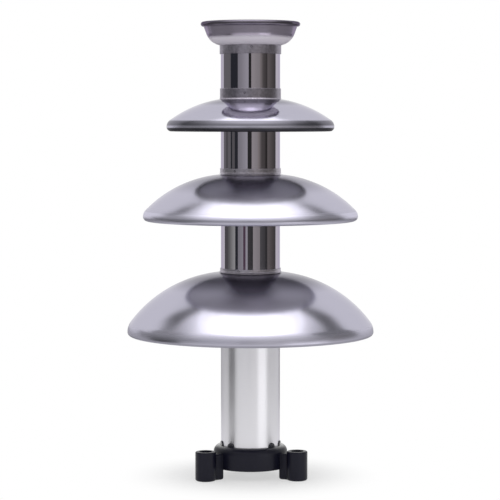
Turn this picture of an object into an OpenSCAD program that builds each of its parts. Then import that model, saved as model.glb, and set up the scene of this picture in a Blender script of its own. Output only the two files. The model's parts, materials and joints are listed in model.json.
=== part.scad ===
// Tower of a tiered chocolate fountain: a three-lug foot, a main tube, three stacked tier sections,
// a crown bowl and the lifting auger that turns inside.

/* [Tubes] */
// Outer diameter of every tube in the stack
tube_d = 60; // [50:0.5:70]
// Wall of every tube
tube_wall = 1; // [0.8:0.1:1.5]
// Length of the main tube, from its seat in the foot to the first joint
main_tube_len = 178.5; // [140:0.5:240]
// Length of the lower riser, between the first and second joints
lower_riser_len = 99.3; // [90:0.1:140]
// Length of the middle riser, between the second and third joints
middle_riser_len = 76; // [66:0.1:110]
// Length of the upper riser, from the third joint to the crown's floor
upper_riser_len = 67.2; // [56:0.1:100]

/* [Couplings] */
// Length of a coupling sleeve, half in the tube above and half in the tube below
coupling_len = 36; // [24:1:48]
// Wall of a coupling sleeve
coupling_wall = 0.9; // [0.7:0.1:1.5]
// Radial clearance of a coupling sleeve in a tube
slip_gap = 0.1; // [0.05:0.05:0.2]
// Length of the lead-in chamfer at a coupling's lower end
coupling_lead = 1.5; // [0.5:0.5:4]

/* [Tier sheet] */
// Thickness of the spun steel of the tiers and the crown
sheet_t = 1; // [0.8:0.1:1.5]
// Depth of the drawn neck, from a tier's crest down to its joint
neck_len = 12; // [8:0.5:16]
// Radius of the bend from a tier's top into its neck
neck_bend_r = 2; // [1.6:0.1:3]
// Radial clearance of necks and collars on the tubes they are welded to
weld_gap = 0.05; // [0.02:0.01:0.15]
// Angle through which a tier's lip curls inwards
lip_angle = 150; // [100:5:170]

/* [Large tier] */
// Diameter of the large tier at its widest
large_d = 250; // [220:1:280]
// Radius of the large tier's domed top
large_dome_r = 126.5; // [110:0.5:160]
// Radius of the large tier's shoulder
large_shoulder_r = 17; // [8:0.5:24]
// Angle of the large tier's shoulder arc
large_shoulder_angle = 37; // [30:0.5:45]
// Radius of the large tier's curled lip
large_lip_r = 3.4; // [2.5:0.1:6]

/* [Medium tier] */
// Diameter of the medium tier at its widest
medium_d = 217.8; // [190:0.1:240]
// Radius of the medium tier's domed top
medium_dome_r = 119; // [100:0.5:150]
// Radius of the medium tier's shoulder
medium_shoulder_r = 9; // [6:0.5:20]
// Angle of the medium tier's shoulder arc
medium_shoulder_angle = 43.8; // [40:0.1:55]
// Radius of the medium tier's curled lip
medium_lip_r = 4.5; // [2.5:0.1:6]

/* [Small tier] */
// Diameter of the small tier at its widest
small_d = 169.6; // [140:0.1:190]
// Radius of the small tier's domed top
small_dome_r = 115.5; // [90:0.5:150]
// Radius of the small tier's shoulder
small_shoulder_r = 8.5; // [6:0.5:16]
// Angle of the small tier's shoulder arc
small_shoulder_angle = 53.6; // [45:0.1:62]
// Radius of the small tier's curled lip
small_lip_r = 4.6; // [2.5:0.1:6]

/* [Collars] */
// Thickness of the welded collars above the tiers
collar_t = 0.7; // [0.5:0.1:1.2]
// Height of the collar on the large tier
large_collar_h = 4.4; // [3:0.1:12]
// Height of the collar on the medium tier
medium_collar_h = 6.3; // [3:0.1:14]
// Height of the collar on the small tier
small_collar_h = 10.7; // [4:0.1:18]
// How far a collar's foot flares out past its wall
collar_flare = 0.7; // [0.2:0.1:1]
// Height of the flared foot
collar_flare_h = 1.4; // [0.6:0.1:2]
// Seam left open between a collar and the sheet beside it
collar_seam = 0.15; // [0.05:0.05:0.4]

/* [Crown] */
// How far the crown's rolled bead reaches out past the tube
crown_reach = 20.2; // [17:0.1:30]
// Height of the bead's centre above the underside of the crown's floor
crown_h = 21.2; // [18:0.1:30]
// Diameter of the rolled bead
crown_bead_d = 4.8; // [3:0.1:6]
// How far the crown's wall laps into the bead
crown_bead_lap = 1.6; // [0.4:0.1:2.2]
// Lean of the crown's wall from upright
crown_lean = 20; // [10:1:24]
// Radius of the crown's curve from the hole in its floor up to its wall
crown_curve_r = 18; // [15:0.5:22]
// Thickness of the collar under the crown
crown_collar_t = 1; // [0.6:0.1:1.4]
// Height of the collar under the crown
crown_collar_h = 8.6; // [4:0.1:14]

/* [Foot ring] */
// Height of the top of the foot's ring above the surface it stands on
ring_top = 33; // [28:0.5:40]
// Height of the underside of the ring above that surface
ring_lift = 10; // [6:0.5:14]
// Wall of the ring outside the tube, whose top is a full quarter round
ring_wall = 7.5; // [6:0.1:10]
// Depth of the socket that holds the main tube
tube_socket = 15; // [10:0.5:17]
// Width of the ledge that the main tube stands on, inwards from the tube's outside
tube_ledge = 3; // [2:0.5:5]
// Radius of the ring's lower outer edge
ring_edge_r = 1.5; // [0.5:0.1:2.5]

/* [Foot lugs] */
// Number of lugs
lug_count = 3; // [3:1:4]
// Diameter of the circle through the lugs' centres
lug_circle_d = 106.5; // [100:0.5:130]
// Outer diameter of a lug
lug_d = 21; // [18:0.5:24]
// Diameter of the locating hole through a lug
lug_hole_d = 13; // [8:0.5:14]
// Height of a lug
lug_h = 29.5; // [24:0.5:36]
// Radius of a lug's lower edge
lug_foot_r = 2; // [0.5:0.1:2]
// Radius of a lug's upper edge
lug_top_r = 1.2; // [0.3:0.1:1.6]
// Width of the web between a lug and the ring
web_w = 12; // [8:0.5:16]
// Height of the web's top
web_h = 26.5; // [22:0.5:28]
// Radius of the web's edges
web_edge_r = 2.5; // [1:0.1:3]
// How far a web bites into the ring's wall
web_bite = 1.5; // [1:0.1:4]

/* [Foot keys] */
// Width of the keys that stand in the main tube's notches
key_w = 8; // [5:0.5:10]
// Height of a key's round top above the ring
key_rise = 4; // [3.5:0.5:8]
// Angle of a key either side of its lug
key_angle = 17; // [12:1:24]
// How far a key stands proud of the tube's outside
key_proud = 1.2; // [0.4:0.1:2]
// Clearance round a key in its notch
key_gap = 0.4; // [0.2:0.1:0.8]

/* [Foot hub] */
// Outer diameter of the hub that carries the auger's bush
hub_d = 26; // [24:0.5:32]
// Height of the hub, up from the underside of the ring
hub_h = 14; // [10:0.5:18]
// Width of a spoke between hub and ring
spoke_w = 5; // [3:0.5:8]
// Height of a spoke
spoke_h = 8; // [5:0.5:10]
// Radius of a spoke's edges
spoke_edge_r = 1.5; // [0.5:0.1:2]

/* [Bush and washer] */
// Wall of the flanged bush
bush_wall = 2; // [1:0.1:3]
// Thickness of the bush's flange
bush_flange_t = 2; // [1:0.1:4]
// How far the bush's flange reaches past its barrel
bush_flange = 2.5; // [1:0.1:3]
// Radial clearance of the bush in the hub
bush_gap = 0.03; // [0.01:0.01:0.1]
// Thickness of the thrust washer under the auger's collar
washer_t = 1; // [0.5:0.1:2]
// Width of the washer's face
washer_w = 3.2; // [2:0.1:5]
// Axial play of the auger on its washer
thrust_play = 0.1; // [0.05:0.05:0.3]

/* [Drive socket] */
// Diameter of the journal that runs in the bush
journal_d = 14; // [12:0.5:16]
// Radial running clearance of the journal
run_gap = 0.05; // [0.02:0.01:0.1]
// How far the journal comes out under the hub
journal_out = 3; // [1:0.5:5]
// Diameter of the bore for the motor's spindle
spindle_d = 8.2; // [6:0.1:9]
// Depth of the spindle's bore
spindle_depth = 20; // [14:1:24]
// Width of the slot across the journal's end
dog_slot_w = 3.2; // [2:0.1:4]
// Depth of that slot
dog_slot_h = 5; // [3:0.5:8]
// Thickness of the collar that the auger rests on
socket_collar_t = 2.5; // [1:0.1:5]
// Length of the spigot inside the auger's shaft
spigot_len = 22; // [16:1:30]
// Radial clearance of spigots in the auger's shaft
spigot_gap = 0.05; // [0.02:0.01:0.1]
// Diameter of the drive pin across shaft and spigot
pin_d = 3; // [2:0.1:4]
// Radial clearance of the drive pin
pin_gap = 0.03; // [0.01:0.01:0.1]

/* [Auger] */
// Outer diameter of the auger's tubular shaft
core_d = 18; // [16:0.5:22]
// Wall of the auger's shaft
core_wall = 2; // [1:0.1:3]
// Radial gap from the flight to the couplings that it passes through
flight_gap = 1.4; // [0.6:0.1:3]
// Rise of the flight in one turn
flight_pitch = 48; // [30:1:70]
// Thickness of the flight
flight_t = 2.4; // [1.5:0.1:4]
// Radial clearance of the flight on the shaft
flight_weld = 0.05; // [0.02:0.01:0.1]
// Height of the flight's lower end above the auger's collar
flight_start = 4; // [2:0.5:10]
// How far the flight stops short of the shaft's upper end
flight_stop = 2; // [1:0.5:10]
// Depth of the auger's tip below the crown's floor
auger_drop = 4; // [2:0.5:12]
// Length of the nose's spigot in the shaft
nose_spigot = 12; // [6:0.5:20]

/* [Hidden] */
$fn = 96;
CUT = 1;
FLIGHT_STEPS = 28;
FINE_ANGLE = 2.5;

STEEL = "#c9c9d2";
MIRROR = "#9a9aa4";
BLACK = "#23232b";
WHITE = "#e8e6df";

tube_r = tube_d / 2;
tube_bore_r = tube_r - tube_wall;
neck_r = tube_r + weld_gap;
coupling_r = tube_bore_r - slip_gap;

// Heights of the stack
tube_seat_z = ring_top - tube_socket;
first_joint_z = tube_seat_z + main_tube_len;
second_joint_z = first_joint_z + lower_riser_len;
third_joint_z = second_joint_z + middle_riser_len;
riser_top_z = third_joint_z + upper_riser_len;
crown_floor_z = riser_top_z - sheet_t;

// Crown
crown_r = tube_r + crown_reach;

// Foot
ring_bore_r = tube_r + weld_gap;
ring_r = ring_bore_r + ring_wall;
ledge_r = tube_r - tube_ledge;
lug_circle_r = lug_circle_d / 2;
lug_step = 360 / lug_count;
first_lug = 90;
hub_top_z = ring_lift + hub_h;
key_top_z = ring_top + key_rise;

// Auger drive
journal_r = journal_d / 2;
bush_bore_r = journal_r + run_gap;
bush_r = bush_bore_r + bush_wall;
bush_top_z = hub_top_z + bush_flange_t;
washer_z = bush_top_z + thrust_play;
socket_collar_z = washer_z + washer_t;
core_bottom_z = socket_collar_z + socket_collar_t;
core_r = core_d / 2;
spigot_r = core_r - core_wall - spigot_gap;
spindle_mouth_z = ring_lift - journal_out;
pin_z = core_bottom_z + spigot_len / 2;

// Auger body, whose domed nose has the shaft's radius
nose_top_z = crown_floor_z - auger_drop;
core_top_z = nose_top_z - core_r;
flight_r = coupling_r - coupling_wall - flight_gap;
flight_inner_r = (core_r + flight_weld) / cos(180 / FLIGHT_STEPS);
flight_low_z = core_bottom_z + flight_start + flight_t / 2;
flight_high_z = core_top_z - flight_stop - flight_t / 2;

// Centre of a dome's main arc, measured from the axis and from the height of its widest point
function dome_centre(rim_r, shoulder_r, turn, dome_r) =
    [rim_r - shoulder_r, 0] + (shoulder_r - dome_r) * [cos(turn), sin(turn)];

// Centre of the bend that leads from the dome into its neck
function bend_centre(rim_r, shoulder_r, turn, dome_r) =
    let (c = dome_centre(rim_r, shoulder_r, turn, dome_r), r = neck_r + neck_bend_r)
    [r, c.y + sqrt(pow(dome_r - neck_bend_r, 2) - pow(r - c.x, 2))];

// Points along an arc about a centre, from angle a to angle b, in steps of about the given angle
function arc(centre, r, a, b, step = 10) =
    let (n = max(2, ceil(abs(b - a) / step)))
    [for (i = [0 : n]) centre + r * [cos(a + (b - a) * i / n), sin(a + (b - a) * i / n)]];

function drop_last(points) = [for (i = [0 : len(points) - 2]) points[i]];
function reverse(points) = [for (i = [len(points) - 1 : -1 : 0]) points[i]];

// One face of a tier's sheet, lying depth under its outer face, from the curled lip to the neck's end
function tier_face(rim_r, shoulder_r, turn, dome_r, lip_r, depth) =
    let (
        c = dome_centre(rim_r, shoulder_r, turn, dome_r),
        bend = bend_centre(rim_r, shoulder_r, turn, dome_r),
        bend_turn = atan2(bend.y - c.y, bend.x - c.x)
    )
    concat(
        drop_last(arc([rim_r - lip_r, 0], lip_r - depth, -lip_angle, 0)),
        drop_last(arc([rim_r - shoulder_r, 0], shoulder_r - depth, 0, turn, FINE_ANGLE)),
        drop_last(arc(c, dome_r - depth, turn, bend_turn, FINE_ANGLE)),
        arc(bend, neck_bend_r - depth, bend_turn, 180),
        [[neck_r + depth, bend.y + neck_bend_r - neck_len]]
    );

// A spun tier: curled lip, shoulder, domed top and a neck drawn down to the joint
module tier(joint_z, rim_r, shoulder_r, turn, dome_r, lip_r) {
    crest = bend_centre(rim_r, shoulder_r, turn, dome_r).y + neck_bend_r;
    outer = tier_face(rim_r, shoulder_r, turn, dome_r, lip_r, 0);
    inner = tier_face(rim_r, shoulder_r, turn, dome_r, lip_r, sheet_t);
    translate([0, 0, joint_z + neck_len - crest])
        rotate_extrude()
            polygon(concat(outer, reverse(inner)));
}

// A plain tube standing at height z
module tube(z, len, r, wall) {
    translate([0, 0, z])
        rotate_extrude()
            translate([r - wall, 0])
                square([wall, len]);
}

// A welded collar with a flared foot, standing at height z
module collar(z, h, t) {
    translate([0, 0, z])
        rotate_extrude()
            polygon([
                [neck_r, 0],
                [neck_r + t + collar_flare, 0],
                [neck_r + t, collar_flare_h],
                [neck_r + t, h],
                [neck_r, h]
            ]);
}

// A coupling sleeve centred on a joint, tapered at its lower end to find the tube below
module coupling(joint_z) {
    inner_r = coupling_r - coupling_wall;
    lead_r = coupling_r - coupling_wall / 2;
    translate([0, 0, joint_z - coupling_len / 2])
        rotate_extrude()
            polygon([
                [inner_r, 0],
                [lead_r, 0],
                [coupling_r, coupling_lead],
                [coupling_r, coupling_len],
                [inner_r, coupling_len]
            ]);
}

// Outline of a rectangle with round corners, its foot on the X axis
function round_section(w, h, r) = concat(
    arc([w / 2 - r, r], r, -90, 0),
    arc([w / 2 - r, h - r], r, 0, 90),
    arc([r - w / 2, h - r], r, 90, 180),
    arc([r - w / 2, r], r, 180, 270)
);

// A bar that runs outwards along X from radius r1 to r2, with a round section
module radial_bar(r1, r2, w, h, edge_r) {
    translate([r1, 0, 0])
        rotate([90, 0, 90])
            linear_extrude(r2 - r1)
                polygon(round_section(w, h, edge_r));
}

// An upright with a round top, drawn from height 0 and run outwards from radius r1 to r2
module arch_bar(r1, r2, w, h) {
    translate([r1, 0, 0])
        rotate([90, 0, 90])
            linear_extrude(r2 - r1)
                polygon(concat([[-w / 2, 0], [w / 2, 0]], arc([0, h - w / 2], w / 2, 0, 180)));
}

// Puts its children at every lug
module at_lugs() {
    for (i = [0 : lug_count - 1])
        rotate(first_lug + i * lug_step)
            children();
}

// Puts its children at both keys of every lug
module at_keys() {
    at_lugs()
        for (side = [-1, 1])
            rotate(side * key_angle)
                children();
}

module foot_ring() {
    rotate_extrude()
        polygon(concat(
            [[ledge_r, ring_lift]],
            arc([ring_r - ring_edge_r, ring_lift + ring_edge_r], ring_edge_r, -90, 0),
            arc([ring_bore_r, ring_top - ring_wall], ring_wall, 0, 90, FINE_ANGLE),
            [[ring_bore_r, tube_seat_z], [ledge_r, tube_seat_z]]
        ));
}

module foot_lug() {
    lug_r = lug_d / 2;
    hole_r = lug_hole_d / 2;
    translate([lug_circle_r, 0, 0])
        rotate_extrude()
            polygon(concat(
                [[hole_r, 0]],
                arc([lug_r - lug_foot_r, lug_foot_r], lug_foot_r, -90, 0),
                arc([lug_r - lug_top_r, lug_h - lug_top_r], lug_top_r, 0, 90),
                [[hole_r, lug_h]]
            ));
}

// The web's outline seen from its side, with a round corner under the ring
function web_side() =
    let (inner = ring_r - web_bite)
    concat(
        [[lug_circle_r, 0], [lug_circle_r, web_h], [inner, web_h]],
        arc([inner + web_edge_r, web_edge_r], web_edge_r, 180, 270)
    );

module foot_web() {
    difference() {
        intersection() {
            radial_bar(ring_r - web_bite, lug_circle_r, web_w, web_h, web_edge_r);
            rotate([90, 0, 0])
                linear_extrude(web_w + 2 * CUT, center = true)
                    polygon(web_side());
        }
        translate([lug_circle_r, 0, -CUT])
            cylinder(r = lug_hole_d / 2, h = web_h + 2 * CUT);
    }
}

// A key fills its notch down in the socket and stands proud above the ring
module foot_key() {
    intersection() {
        translate([0, 0, tube_seat_z - CUT])
            arch_bar(ledge_r, ring_r, key_w, key_top_z - tube_seat_z + CUT);
        tube(0, key_top_z + CUT, tube_r + key_proud, tube_wall + key_proud);
    }
}

module foot_hub() {
    at_lugs()
        translate([0, 0, ring_lift])
            radial_bar(hub_d / 2 - CUT, ledge_r + CUT, spoke_w, spoke_h, spoke_edge_r);
    tube(ring_lift, hub_h, hub_d / 2, hub_d / 2 - bush_r - bush_gap);
}

module foot() {
    color(BLACK) {
        foot_ring();
        foot_hub();
        at_lugs() {
            foot_lug();
            foot_web();
        }
        at_keys()
            foot_key();
    }
}

module foot_bush() {
    color(WHITE)
        rotate_extrude() {
            translate([bush_bore_r, ring_lift])
                square([bush_wall, hub_h]);
            translate([bush_bore_r, hub_top_z])
                square([bush_wall + bush_flange, bush_flange_t]);
        }
}

module main_tube() {
    color(STEEL)
        difference() {
            tube(tube_seat_z, main_tube_len, tube_r, tube_wall);
            at_keys()
                translate([0, 0, tube_seat_z - CUT])
                    arch_bar(
                        tube_bore_r - CUT,
                        tube_r + CUT,
                        key_w + 2 * key_gap,
                        key_top_z + key_gap - tube_seat_z + CUT
                    );
        }
}

module drive_socket() {
    color(STEEL)
        difference() {
            union() {
                translate([0, 0, spindle_mouth_z])
                    cylinder(r = journal_r, h = socket_collar_z - spindle_mouth_z);
                translate([0, 0, socket_collar_z])
                    cylinder(r = core_r, h = socket_collar_t);
                translate([0, 0, core_bottom_z])
                    cylinder(r = spigot_r, h = spigot_len);
            }
            translate([0, 0, spindle_mouth_z - CUT])
                cylinder(d = spindle_d, h = spindle_depth + CUT);
            translate([-journal_d / 2 - CUT, -dog_slot_w / 2, spindle_mouth_z - CUT])
                cube([journal_d + 2 * CUT, dog_slot_w, dog_slot_h + CUT]);
            translate([0, 0, pin_z])
                rotate([0, 90, 0])
                    cylinder(r = pin_d / 2 + pin_gap, h = core_d, center = true);
        }
}

module thrust_washer() {
    color(WHITE)
        tube(washer_z, washer_t, bush_bore_r + washer_w, washer_w);
}

module drive_pin() {
    color(STEEL)
        translate([0, 0, pin_z])
            rotate([0, 90, 0])
                cylinder(d = pin_d, h = core_d - 2 * pin_gap, center = true);
}

module auger_shaft() {
    color(STEEL)
        difference() {
            tube(core_bottom_z, core_top_z - core_bottom_z, core_r, core_wall);
            translate([0, 0, pin_z])
                rotate([0, 90, 0])
                    cylinder(r = pin_d / 2 + pin_gap, h = core_d + 2 * CUT, center = true);
        }
}

// The flight is one ribbon of four-point sections wound up the shaft
module auger_flight() {
    rise = flight_high_z - flight_low_z;
    count = ceil(rise / flight_pitch * FLIGHT_STEPS);
    section = [
        [flight_inner_r, -flight_t / 2],
        [flight_r, -flight_t / 2],
        [flight_r, flight_t / 2],
        [flight_inner_r, flight_t / 2]
    ];
    points = [
        for (i = [0 : count], p = section)
            let (z = flight_low_z + rise * i / count, turn = 360 * rise / flight_pitch * i / count)
            [p.x * cos(turn), p.x * sin(turn), z + p.y]
    ];
    sides = [
        for (i = [0 : count - 1], k = [0 : 3])
            let (a = 4 * i + k, b = 4 * i + (k + 1) % 4)
            each [[a, a + 4, b], [b, a + 4, b + 4]]
    ];
    last = 4 * count;
    ends = [[0, 1, 2], [0, 2, 3], [last, last + 2, last + 1], [last, last + 3, last + 2]];
    color(STEEL)
        polyhedron(points, concat(sides, ends));
}

module auger_nose() {
    color(STEEL)
        rotate_extrude() {
            translate([0, core_top_z])
                intersection() {
                    circle(core_r);
                    square(core_r);
                }
            translate([0, core_top_z - nose_spigot])
                square([spigot_r, nose_spigot]);
        }
}

module large_tier() {
    color(STEEL)
        tier(
            first_joint_z,
            large_d / 2,
            large_shoulder_r,
            large_shoulder_angle,
            large_dome_r,
            large_lip_r
        );
}

module medium_tier() {
    color(STEEL)
        tier(
            second_joint_z,
            medium_d / 2,
            medium_shoulder_r,
            medium_shoulder_angle,
            medium_dome_r,
            medium_lip_r
        );
}

module small_tier() {
    color(STEEL)
        tier(
            third_joint_z,
            small_d / 2,
            small_shoulder_r,
            small_shoulder_angle,
            small_dome_r,
            small_lip_r
        );
}

module large_collar() {
    color(STEEL)
        collar(first_joint_z + neck_len + collar_seam, large_collar_h, collar_t);
}

module medium_collar() {
    color(STEEL)
        collar(second_joint_z + neck_len + collar_seam, medium_collar_h, collar_t);
}

module small_collar() {
    color(STEEL)
        collar(third_joint_z + neck_len + collar_seam, small_collar_h, collar_t);
}

module crown_collar() {
    color(STEEL)
        tube(
            crown_floor_z - collar_seam - crown_collar_h,
            crown_collar_h,
            neck_r + crown_collar_t,
            crown_collar_t
        );
}

module lower_riser() {
    color(MIRROR)
        tube(first_joint_z, lower_riser_len, tube_r, tube_wall);
}

module middle_riser() {
    color(MIRROR)
        tube(second_joint_z, middle_riser_len, tube_r, tube_wall);
}

module upper_riser() {
    color(MIRROR)
        tube(third_joint_z, upper_riser_len, tube_r, tube_wall);
}

module lower_coupling() {
    color(STEEL)
        coupling(first_joint_z);
}

module middle_coupling() {
    color(STEEL)
        coupling(second_joint_z);
}

module upper_coupling() {
    color(STEEL)
        coupling(third_joint_z);
}

// One face of the crown's sheet, lying depth inside its outer face, from the floor's hole up to the bead
function crown_face(depth) =
    let (
        out = [cos(crown_lean), -sin(crown_lean)],
        up = [sin(crown_lean), cos(crown_lean)],
        wall_top = [crown_r - crown_bead_d + crown_bead_lap, crown_h] + sheet_t * out,
        above = wall_top - crown_curve_r * out - [neck_r, 0],
        drop = above * up - sqrt(pow(above * up, 2) - above * above + pow(crown_curve_r, 2)),
        centre = [neck_r, 0] + above - drop * up,
        start = -acos((neck_r - centre.x) / (crown_curve_r - depth))
    )
    concat(
        arc(centre, crown_curve_r - depth, start, -crown_lean, FINE_ANGLE),
        [wall_top - depth * out]
    );

// The crown is a bowl whose curve is tangent to a leaning wall, with a bead rolled at the wall's top
module crown() {
    color(STEEL)
        translate([0, 0, crown_floor_z])
            rotate_extrude() {
                polygon(concat(crown_face(0), reverse(crown_face(sheet_t))));
                translate([crown_r - crown_bead_d / 2, crown_h])
                    circle(d = crown_bead_d);
            }
}

foot();
foot_bush();
main_tube();
drive_socket();
thrust_washer();
drive_pin();
auger_shaft();
auger_flight();
auger_nose();
large_tier();
large_collar();
lower_riser();
lower_coupling();
medium_tier();
medium_collar();
middle_riser();
middle_coupling();
small_tier();
small_collar();
upper_riser();
upper_coupling();
crown_collar();
crown();
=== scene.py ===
import json
import logging
import math
from abc import ABC, abstractmethod
from dataclasses import dataclass
from enum import Enum
from functools import cached_property
from typing import Any, Mapping, Sequence

import bpy
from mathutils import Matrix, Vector


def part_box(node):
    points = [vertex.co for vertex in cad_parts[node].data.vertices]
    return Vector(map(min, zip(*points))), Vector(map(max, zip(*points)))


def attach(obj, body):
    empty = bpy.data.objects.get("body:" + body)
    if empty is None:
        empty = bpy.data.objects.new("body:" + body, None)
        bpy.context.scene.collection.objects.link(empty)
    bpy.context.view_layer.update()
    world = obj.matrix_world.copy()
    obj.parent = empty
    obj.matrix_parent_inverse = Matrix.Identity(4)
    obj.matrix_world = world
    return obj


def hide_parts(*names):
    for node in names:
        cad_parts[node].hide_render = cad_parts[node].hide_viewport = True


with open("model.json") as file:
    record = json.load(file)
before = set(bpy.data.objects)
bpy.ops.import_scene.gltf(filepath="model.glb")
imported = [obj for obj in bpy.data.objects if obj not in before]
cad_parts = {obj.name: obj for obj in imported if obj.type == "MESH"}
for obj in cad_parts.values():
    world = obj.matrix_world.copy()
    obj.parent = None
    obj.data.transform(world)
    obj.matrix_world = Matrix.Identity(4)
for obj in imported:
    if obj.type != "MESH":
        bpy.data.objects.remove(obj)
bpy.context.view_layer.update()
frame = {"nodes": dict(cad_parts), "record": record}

log = logging.getLogger("fountain_tower")

MM = 0.001
SEGMENTS = 192
SHARP_ANGLE = math.radians(32)
LONG_STRETCH = 3.2 * MM
HOLD_DISTANCE = 0.3 * MM
EASE_STEPS = 3
SHEET_STEP_DEGREES = 4.0
NOISE_MEAN = 0.5

Point = tuple[float, float]
Place = tuple[float, float, float]
Face = tuple[int, ...]
Colour = tuple[float, float, float]
Column = tuple[float, float | None]
Pair = tuple[int, int]


class Slot(Enum):
    """The material slots of the tower's record."""

    BLACK_PLASTIC = "black_plastic"
    ACETAL = "acetal"
    SATIN_STEEL = "satin_steel"
    SPUN_STEEL = "spun_steel"
    MIRROR_STEEL = "mirror_steel"
    COLLAR_STEEL = "collar_steel"
    TURNED_STEEL = "turned_steel"
    AUGER_STEEL = "auger_steel"


class Grain(Enum):
    """The way that fine working marks run, with the turn that it gives to brushed highlights."""

    AROUND = 0.25
    ALONG = 0.0


class Level(Enum):
    """The heights at which the main tube has points, from its foot up."""

    FOOT = "foot"
    ARCH = "arch"
    LINE = "line"
    TOP = "top"


# Shader graphs
class Signal:
    """A node's output, which takes part in Python arithmetic."""

    def __init__(self, graph: "Graph", socket: bpy.types.NodeSocket) -> None:
        """Keeps the output and the graph that it belongs to."""
        self.graph = graph
        self.socket = socket

    def __add__(self, other: "Signal | float") -> "Signal":
        """self + other."""
        return self.graph.math("ADD", self, other)

    def __radd__(self, other: float) -> "Signal":
        """other + self."""
        return self.graph.math("ADD", other, self)

    def __sub__(self, other: "Signal | float") -> "Signal":
        """self - other."""
        return self.graph.math("SUBTRACT", self, other)

    def __rsub__(self, other: float) -> "Signal":
        """other - self."""
        return self.graph.math("SUBTRACT", other, self)

    def __mul__(self, other: "Signal | float") -> "Signal":
        """self * other."""
        return self.graph.math("MULTIPLY", self, other)

    def __rmul__(self, other: float) -> "Signal":
        """other * self."""
        return self.graph.math("MULTIPLY", other, self)

    def __truediv__(self, other: "Signal | float") -> "Signal":
        """self / other."""
        return self.graph.math("DIVIDE", self, other)

    def __pow__(self, other: "Signal | float") -> "Signal":
        """self ** other."""
        return self.graph.math("POWER", self, other)

    def __abs__(self) -> "Signal":
        """self without its sign."""
        return self.graph.math("ABSOLUTE", self)

    def smooth(self, low: float, high: float) -> "Signal":
        """Rises smoothly from 0 at low to 1 at high.

        Args:
            low: value that gives 0.
            high: value that gives 1.

        Returns:
            The smooth step.
        """
        inputs = {0: self, 1: low, 2: high}
        node = self.graph.add("ShaderNodeMapRange", {"interpolation_type": "SMOOTHSTEP"}, inputs)
        return self.graph.value(node)

    def past(self, value: float, blend: float) -> "Signal":
        """1 where self is past a value, with a blend on both sides of it."""
        return self.smooth(value - blend, value + blend)


class Graph:
    """A node tree that is written node by node."""

    def __init__(self, tree: bpy.types.NodeTree) -> None:
        """Starts on an empty tree."""
        tree.nodes.clear()
        self.tree = tree

    def add(
        self,
        kind: str,
        settings: Mapping[str, Any] | None = None,
        inputs: Mapping[str | int, Any] | None = None,
    ) -> bpy.types.Node:
        """Adds any node.

        Args:
            kind: the node's type.
            settings: properties, which are set first.
            inputs: what its inputs are set to or linked to, by name or number.

        Returns:
            The new node.
        """
        node = self.tree.nodes.new(kind)
        for name, value in (settings or {}).items():
            setattr(node, name, value)
        self.feed(node, inputs or {})
        return node

    def feed(self, node: bpy.types.Node, inputs: Mapping[str | int, Any]) -> None:
        """Sets or links a node's inputs.

        Args:
            node: the node.
            inputs: a plain value, a colour, a signal or a node for each input, by name or number.
        """
        for key, value in inputs.items():
            socket = node.inputs[key]
            if isinstance(value, Signal):
                self.tree.links.new(value.socket, socket)
            elif isinstance(value, bpy.types.Node):
                self.tree.links.new(value.outputs[0], socket)
            else:
                socket.default_value = (*value, 1.0) if socket.type == "RGBA" else value

    def show(self, shader: bpy.types.Node, output: str = "ShaderNodeOutputMaterial") -> None:
        """Makes a shader the one that shows."""
        self.add(output, inputs={"Surface": shader})

    def value(self, node: bpy.types.Node, output: str | int = 0) -> Signal:
        """One output of a node as a signal."""
        return Signal(self, node.outputs[output])

    def math(self, operation: str, *terms: Signal | float) -> Signal:
        """Adds a Math node on its terms in order and gives its result."""
        return self.value(self.add("ShaderNodeMath", {"operation": operation}, dict(enumerate(terms))))

    def place(self) -> Signal:
        """Place on the object, in metres of the tower's own frame."""
        return self.value(self.add("ShaderNodeTexCoord"), "Object")

    def axes(self) -> tuple[Signal, Signal, Signal]:
        """The place's X, Y and Z."""
        node = self.add("ShaderNodeSeparateXYZ", inputs={0: self.place()})
        return self.value(node, 0), self.value(node, 1), self.value(node, 2)

    def reach(self) -> Signal:
        """Distance from the tower's axis."""
        x, y, _ = self.axes()
        return (x * x + y * y) ** 0.5

    def azimuth(self) -> Signal:
        """Angle round the axis in radians, with 0 towards the camera and + to the camera's right."""
        x, y, _ = self.axes()
        return self.math("ARCTAN2", x, 0 - y)

    def vector(self, x: Signal | float, y: Signal | float, z: Signal | float) -> Signal:
        """Three values as one vector."""
        return self.value(self.add("ShaderNodeCombineXYZ", inputs={0: x, 1: y, 2: z}))

    def noise(self, place: Signal, scale: float, detail: float = 3.0, roughness: float = 0.5) -> Signal:
        """Noise from 0 to 1.

        Args:
            place: vector that the noise is read at.
            scale: lumps per unit of that vector.
            detail: number of finer octaves.
            roughness: weight of the finer octaves.

        Returns:
            The noise's value.
        """
        inputs = {"Vector": place, "Scale": scale, "Detail": detail, "Roughness": roughness}
        return self.value(self.add("ShaderNodeTexNoise", inputs=inputs), "Fac")

    def mix(self, factor: Signal, low: Colour | Signal, high: Colour | Signal) -> Signal:
        """Colour between low, where the factor is 0, and high, where it is 1."""
        node = self.add("ShaderNodeMix", {"data_type": "RGBA"}, {0: factor, 6: low, 7: high})
        return self.value(node, 2)

    def bump(self, height: Signal, relief: float, normal: Signal | None = None) -> Signal:
        """Normal of a surface with fine relief.

        Args:
            height: height from 0 to 1.
            relief: depth of the relief in metres.
            normal: normal to start from, if not the surface's own.

        Returns:
            The new normal.
        """
        inputs = {"Height": height, "Distance": relief, "Strength": 1.0}
        if normal is not None:
            inputs["Normal"] = normal
        return self.value(self.add("ShaderNodeBump", inputs=inputs))


def new_material(name: str) -> tuple[bpy.types.Material, Graph]:
    """Makes a material with an empty graph.

    Args:
        name: the material's name.

    Returns:
        The material and its graph.
    """
    material = bpy.data.materials.new(name)
    material.use_nodes = True
    return material, Graph(material.node_tree)


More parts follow.
